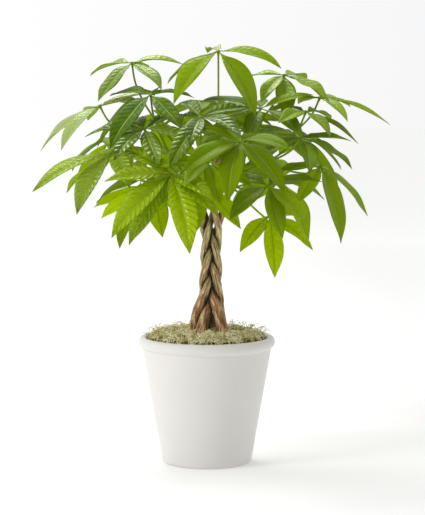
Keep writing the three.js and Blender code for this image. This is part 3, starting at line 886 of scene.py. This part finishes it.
leafStyle = {
    "rows": 56,
    "columns": 10,
    "thick": 0.4,  # mm
    "veinGap": 8.2,  # mm between side veins
    "veinSweep": 0.105,  # share of the length by which a side vein runs towards the tip
    "veinBow": 1.2,
    "quilt": (0.3, 0.6),  # mm, how far the blade swells between side veins
    "quiltFull": (0.3, 5),  # where that is whole: share of the half width, and its least mm
    "quiltRound": 0.75,
    "crease": 0.43,  # rise of each half beside the midrib
    "creaseFrom": 0.25,  # the share of the length where that is whole
    "fall": 0.16,  # how much of it the half loses again towards its edge
    "fallVary": (-0.1, 0.14),  # on top of that
    "fallHeld": 0.7,  # how much of the variation the rise makes up for
    "ripple": (0.4, 1.5),  # mm, the waves of the edge
    "ripples": (1.1, 2.2),  # how many there are
    "rippleFull": 8,  # mm, the half width where they are whole
    "edge": (0.025, 9),  # how far the half width wanders, and how fast along the length
    "sway": 0.022,  # how far the blade bends sideways, as a share of its length
    "bob": (0.6, 7),  # mm, how far it bends up and down, and how fast along the length
    "youngVary": 0.18,
    # the midrib's radius in mm at the hub and the tip, and, in shares of the length, where it ends
    # and where it sinks into the blade, by how much of its radius
    "rib": {"radius": (0.85, 0.25), "thinning": 0.6, "end": 0.96, "sinks": (0.03, 0.15),
            "sink": 1.1, "steps": 22, "sides": 6, "pale": 0.45},
    "behind": 15,  # mm, how far behind the hub the tips of a frond's rear leaflets are
    # half width as a share of the greatest, by share of the length
    "outline": [(0, 0.03), (0.04, 0.04), (0.08, 0.11), (0.14, 0.32), (0.22, 0.6), (0.31, 0.83),
                (0.4, 0.96), (0.49, 1), (0.58, 0.96), (0.67, 0.86), (0.76, 0.69), (0.84, 0.49),
                (0.9, 0.31), (0.95, 0.15), (0.98, 0.06), (1, 0)],
}
plainLook = {"young": 0.4, "tone": 1, "quilt": 0.32, "gloss": 0.2, "pale": 0, "behind": {}}
# how young and bright, quilted and glossy a frond is, and how pale its painted sheen makes it,
# where it differs from the plain look
frondLooks = {
    1: {"young": 0.95, "gloss": 0.6, "behind": {"young": 0.2, "pale": 0.6}},
    2: {"young": 0.8, "quilt": 1.7, "gloss": 1.3},
    3: {"young": 0.3, "tone": 0.4, "gloss": 0.05}, 4: {"young": 0.4, "gloss": 0.4},
    5: {"young": 0.35, "quilt": 0.3, "gloss": 0.6, "pale": 0.05},
    6: {"young": 0.5, "quilt": 0.3, "gloss": 0.6, "pale": 0.65},
    7: {"young": 0.9, "quilt": 1.9, "gloss": 1.5, "pale": 0.25}, 8: {"young": 0.45, "gloss": 0.5},
    9: {"young": 0.55, "gloss": 0.4}, 10: {"young": 1.1, "quilt": 0.6, "gloss": 0.5},
    11: {"young": 0.3}, 12: {"young": 0.05, "tone": 0.3, "gloss": 0.15}, 13: {"young": 0.25},
    14: {"young": 0.12, "tone": 0.6, "quilt": 0.9, "gloss": 0.5}, 15: {"young": 0.35},
    17: {"young": 0.2, "tone": 0.6, "quilt": 1.2, "gloss": 0.6},
    18: {"young": 0.7}, 19: {"young": 1.25}, 20: {"young": 0.65}, 21: {"young": 0.35},
    29: {"young": 0.3},
}


def outlineAt(share):
    points = leafStyle["outline"]
    i = max(k for k in range(len(points) - 1) if points[k][0] <= share)
    (x0, y0), (x1, y1) = points[i], points[i + 1]
    before = points[max(i - 1, 0)]
    after = points[min(i + 2, len(points) - 1)]
    t = (share - x0) / (x1 - x0)
    slope0 = (y1 - before[1]) / (x1 - before[0]) * (x1 - x0) if i else 0
    slope1 = (after[1] - y0) / (after[0] - x0) * (x1 - x0)
    return ((2 * t ** 3 - 3 * t * t + 1) * y0 + (t ** 3 - 2 * t * t + t) * slope0
            + (3 * t * t - 2 * t ** 3) * y1 + (t ** 3 - t * t) * slope1)


# How the blade swells between side veins, from 0 on a vein to 1 halfway to the next.
def swellAt(veins, share, across):
    side = 0.5 if across > 0 else 0
    sweep = leafStyle["veinSweep"] * abs(across) ** leafStyle["veinBow"]
    count = veins * (share - sweep) + side
    return sin(pi * (count % 1)) ** leafStyle["quiltRound"]


# What the leaf material reads at each point.
leafMarks = ("share", "tone", "young", "under", "rib", "quilt", "gloss", "pale")


def leafLayers(shape):
    layers = {mark: shape.verts.layers.float.new(mark) for mark in leafMarks}
    layers["uv"] = shape.loops.layers.uv.new("veinMap")
    return layers


def paint(verts, layers, **marks):
    for vert in verts:
        for mark, value in marks.items():
            vert[layers[mark]] = value


# One leaflet: a grid bent over its arc, with a crease along the midrib, swellings between the side
# veins and a waved edge, then given its thickness, and a midrib that stands out below it.
def addLeaflet(shape, layers, leaf, look, draw):
    style = leafStyle
    length = leaf["length"]
    veins = round(length / (style["veinGap"] * mm))
    half = (leaf["inner"]["half"] / innerWidth + leaf["outer"]["half"] / outerWidth) / 2
    innerTilt, outerTilt = leaf["inner"]["tilt"], leaf["outer"]["tilt"]
    quilt = mix(*style["quilt"], draw.random()) * look["quilt"] * mm
    ripple = mix(*style["ripple"], draw.random()) * mm
    phases = [draw.uniform(0, 2 * pi) for _ in range(3)]
    ripples = draw.uniform(*style["ripples"])
    sway = style["sway"] * length * draw.uniform(-1, 1)
    fallMore = draw.uniform(*style["fallVary"])
    fall = style["fall"] + fallMore
    crease = style["crease"] + fallMore * style["fallHeld"]
    tone = draw.random() * look["tone"]
    young = look["young"] + draw.uniform(-style["youngVary"], style["youngVary"])
    young = min(1, max(0, young))
    bob, bobTurn = style["bob"]
    wander, wanderTurn = style["edge"]

    def tilted(share):
        place, along, face = leaf["midrib"](share)
        # a curve through no twist at the hub and the twists of the two rings
        a, b = innerRing, outerRing
        tilt = (innerTilt * share * (share - b) / (a * (a - b))
                + outerTilt * share * (share - a) / (b * (b - a)))
        side = leaf["across"] * cos(tilt) + face * sin(tilt)
        face = face * cos(tilt) - leaf["across"] * sin(tilt)
        arch = sin(pi * share)
        place = place + side * sway * arch
        place += face * bob * mm * sin(bobTurn * share + phases[2]) * arch
        return place, side, face

    def surface(share, across, spine):
        place, side, face = spine
        reach = half * outlineAt(share)
        edge = abs(across)
        turn = phases[0] if across > 0 else phases[1]
        opened = smoothStep(0, style["creaseFrom"], share)
        height = reach * (crease * edge - fall * edge * edge) * opened
        full, least = style["quiltFull"]
        swell = smoothStep(0, full, edge) * (1 - edge ** 3) * min(1, reach / (least * mm))
        height += quilt * swell * swellAt(veins, share, across)
        wave = edge ** 2.5 * sin(2 * pi * ripples * share + turn)
        height += ripple * wave * min(1, reach / (style["rippleFull"] * mm))
        reach *= 1 + wander * edge * sin(wanderTurn * share + turn)
        return place + side * (reach * across) + face * height

    rows, columns = style["rows"], style["columns"]
    spines = [tilted(step / rows) for step in range(rows + 1)]
    grid = bmesh.ops.create_grid(shape, x_segments=columns, y_segments=rows, size=1)["verts"]
    faces = list({face for vert in grid for face in vert.link_faces})
    for vert in grid:
        share = (vert.co.y + 1) / 2
        vert[layers["share"]] = share
        for loop in vert.link_loops:
            loop[layers["uv"]].uv = (veins * share, (vert.co.x + 1) / 2)
        step = round(share * rows)
        vert.co = surface(step / rows, vert.co.x, spines[step])
    paint(grid, layers, tone=tone, young=young, under=0, rib=0, quilt=look["quilt"],
          gloss=look["gloss"], pale=look["pale"])
    bmesh.ops.remove_doubles(shape, verts=grid, dist=sameSpot)
    faces = [face for face in faces if face.is_valid]
    tops = {vert for face in faces for vert in face.verts}
    made = bmesh.ops.solidify(shape, geom=faces, thickness=style["thick"] * mm)["geom"]
    bottoms = {item for item in made if isinstance(item, bmesh.types.BMVert)}
    paint(bottoms - tops, layers, under=1)

    # the midrib: round near the hub, then fading into the underside of the blade
    rib = style["rib"]
    first = len(shape.verts)
    shares = [rib["end"] * step / rib["steps"] for step in range(rib["steps"] + 1)]
    radii = [mix(*rib["radius"], share ** rib["thinning"]) * mm for share in shares]
    path = []
    for share, radius in zip(shares, radii):
        place, side, face = tilted(share)
        sink = rib["sink"] * smoothStep(*rib["sinks"], share)
        path.append(place - face * (radius * sink))
    addTube(shape, path, lambda step, angle: radii[step], rib["sides"])
    paint(list(shape.verts)[first:], layers, tone=tone, young=young, under=0,
          rib=rib["pale"], share=0.5)


petioleStyle = {
    "base": 2.3,  # mm, its radius at the trunk
    # the radii that follow, in mm, and the shares of its length between which each comes in
    "radii": [(1.45, 0, 0.22), (1.25, 0.3, 0.8), (1.9, 0.93, 0.99)],
    "hub": 2.5,  # mm
    "hubFlat": 0.75,
    "sides": 12,
    "substeps": 6,  # of each span of the frame
    "longest": 40,  # mm from the lowest stretch to the trunk
    "detour": 0.25,  # how much a longer way there counts, against missing the trunk's axis
}


# Where a petiole leaves its trunk: the point of a trunk's axis that its lowest stretch aims at.
def rootOf(rings):
    aim = (rings[0] - rings[1]).normalized()
    best = None
    for axis, _, _ in trunkAxes:
        for point in axis[len(axis) // 2:]:
            ahead = min(petioleStyle["longest"] * mm, max(0, (point - rings[0]).dot(aim)))
            miss = (rings[0] + aim * ahead - point).length + petioleStyle["detour"] * ahead
            if best is None or miss < best[0]:
                best = (miss, point)
    return best[1]


def addPetiole(shape, layers, rings, hub, look):
    style = petioleStyle
    path = smoothPath([rootOf(rings)] + rings + [hub], style["substeps"])

    def radiusAt(step, angle):
        radius = style["base"]
        for goal, start, full in style["radii"]:
            radius = mix(radius, goal, smoothStep(start, full, step / (len(path) - 1)))
        return radius * mm

    first = len(shape.verts)
    addTube(shape, path, radiusAt, style["sides"])
    axis = (path[-1] - path[-3]).normalized()
    place = Matrix.Translation(hub) @ up.rotation_difference(axis).to_matrix().to_4x4()
    bmesh.ops.create_uvsphere(shape, u_segments=16, v_segments=10, radius=style["hub"] * mm,
                              matrix=place @ Matrix.Diagonal((1, 1, style["hubFlat"], 1)))
    paint(list(shape.verts)[first:], layers, tone=0.5, young=look["young"], under=0, rib=1, share=0)


# Makes a frond of its leaflets and its petiole, and gives the number of leaflets.
def makeFrond(number, leafSkin):
    name = f"frond_{number:02d}"
    look = {**plainLook, **frondLooks.get(number, {})}
    solid = solidCopy(name)
    leaflets = leafletsOf(solid)
    rings = petioleRings(solid)
    solid.free()
    hub = sum((leaf["hub"] for leaf in leaflets), Vector()) / len(leaflets)
    draw = random.Random(300 + number)
    shape = bmesh.new()
    layers = leafLayers(shape)
    for leaf in leaflets:
        behind = leaf["tip"].y > hub.y + leafStyle["behind"] * mm
        addLeaflet(shape, layers, leaf, {**look, **look["behind"]} if behind else look, draw)
    addPetiole(shape, layers, rings, hub, look)
    addPiece(f"leaves_{number:02d}", shape, leafSkin, "leaf", name)
    return len(leaflets)


# Living leaves: waxy above, matt and paler below, with light coming through the thin blade. They
# are mottled in patches of 11 mm, with a grain of 1 mm.
def leafMaterial():
    leaf = newMaterial("money tree leaf")
    place = addNode(leaf, "TexCoord").outputs["Object"]
    mottle = addNode(leaf, "TexNoise", {"Vector": place, "Scale": 90, "Detail": 3})
    fine = addNode(leaf, "TexNoise", {"Vector": place, "Scale": 900, "Detail": 2})
    marks = {mark: addNode(leaf, "Attribute", attribute_name=mark).outputs["Fac"]
             for mark in leafMarks}
    veinMap = addNode(leaf, "SeparateXYZ", {
        "Vector": addNode(leaf, "UVMap", uv_map="veinMap").outputs["UV"]})
    count = veinMap.outputs["X"]
    aside = addNode(leaf, "Math", {0: veinMap.outputs["Y"], 1: 2, 2: -1}, operation="MULTIPLY_ADD")
    edge = addNode(leaf, "Math", {0: aside}, operation="ABSOLUTE")

    # side veins as on the mesh, counted from the hub, and how far off the nearest is
    share = addNode(leaf, "Math", {0: marks["share"], 1: 0.01}, operation="MAXIMUM")
    veins = addNode(leaf, "Math", {0: count, 1: share}, operation="DIVIDE")
    bow = addNode(leaf, "Math", {0: edge, 1: leafStyle["veinBow"]}, operation="POWER")
    sweep = addNode(leaf, "Math", {0: bow, 1: -leafStyle["veinSweep"]}, operation="MULTIPLY")
    onRight = addNode(leaf, "Math", {0: aside, 1: 0}, operation="GREATER_THAN")
    for scale, amount in ((veins, sweep), (onRight, 0.5)):
        count = addNode(leaf, "Math", {0: scale, 1: amount, 2: count}, operation="MULTIPLY_ADD")
    offVein = addNode(leaf, "Math", {0: count, 1: 0.5}, operation="PINGPONG")

    sideVein, midVein, mottled, fromYoung, offRib = [addNode(leaf, "MapRange", {
        "Value": value, "From Min": start, "From Max": full, "To Max": most,
    }, interpolation_type="SMOOTHSTEP") for value, start, full, most in (
        (offVein, 0.1, 0, 0.16), (edge, 0.055, 0.02, 1), (mottle, 0.35, 0.7, 0.25),
        (marks["young"], 0.3, 0.7, 1), (edge, 0.04, 0.4, 0.8))]
    old, fresh, ribColour = [addNode(leaf, "MixRGB", {
        "Fac": choice, "Color1": linear(one), "Color2": linear(other),
    }) for choice, one, other in (
        (marks["tone"], "#335603", "#648c03"), (marks["tone"], "#96b802", "#cde505"),
        (fromYoung, "#c6d476", "#b6cd3c"))]
    onRib = addNode(leaf, "Math", {0: midVein, 1: 0.7}, operation="MULTIPLY")
    below = addNode(leaf, "Math", {0: marks["under"], 1: 0.4}, operation="MULTIPLY")
    skin = old
    # pale mixes in a grey-green painted sheen
    for amount, colour in ((marks["young"], fresh), (mottled, linear("#7c9f03")),
                           (marks["pale"], linear("#b3c191")), (sideVein, linear("#a9c020")),
                           (onRib, ribColour), (below, linear("#93b02c")),
                           (marks["rib"], linear("#8aa524"))):
        skin = addNode(leaf, "MixRGB", {"Fac": amount, "Color1": skin, "Color2": colour})

    # in mm: domes between the side veins, a fine grain and a groove at the midrib
    height = offVein
    for operation, value in (("MULTIPLY", pi), ("SINE", 0), ("POWER", 0.8),
                             ("MULTIPLY", marks["quilt"]), ("MULTIPLY", offRib)):
        height = addNode(leaf, "Math", {0: height, 1: value}, operation=operation)
    for relief, depth in ((fine, 0.015), (midVein, -0.3)):
        height = addNode(leaf, "Math", {0: relief, 1: depth, 2: height}, operation="MULTIPLY_ADD")
    bump = addNode(leaf, "Bump", {"Height": height, "Strength": 1, "Distance": mm})
    gloss = addNode(leaf, "MapRange", {
        "Value": marks["under"], "To Min": marks["gloss"], "To Max": 0})
    roughness = addNode(leaf, "MapRange", {
        "Value": gloss, "To Min": 0.46, "To Max": 0.27}, interpolation_type="SMOOTHSTEP")
    specular = addNode(leaf, "Math", {0: gloss, 1: 0.85, 2: 0.05}, operation="MULTIPLY_ADD")
    shader = addNode(leaf, "BsdfPrincipled", {
        "Base Color": skin, "Roughness": roughness, "Normal": bump,
        "Specular IOR Level": specular, "Specular Tint": linear("#f2f7b4")})
    lit = addNode(leaf, "MixRGB", {"Fac": 0.7, "Color1": skin, "Color2": linear("#e4f10a")})
    through = addNode(leaf, "BsdfTranslucent", {"Color": lit, "Normal": bump})
    thin = addNode(leaf, "Math", {0: marks["young"], 1: 0.6, 2: 0.1}, operation="MULTIPLY_ADD")
    both = addNode(leaf, "MixShader", {0: thin, 1: shader, 2: through})
    return finishMaterial(leaf, both)


leafSkin = leafMaterial()
leafletCount = sum(makeFrond(number, leafSkin) for number in range(1, 30))
print("fronds made, leaflets:", leafletCount)
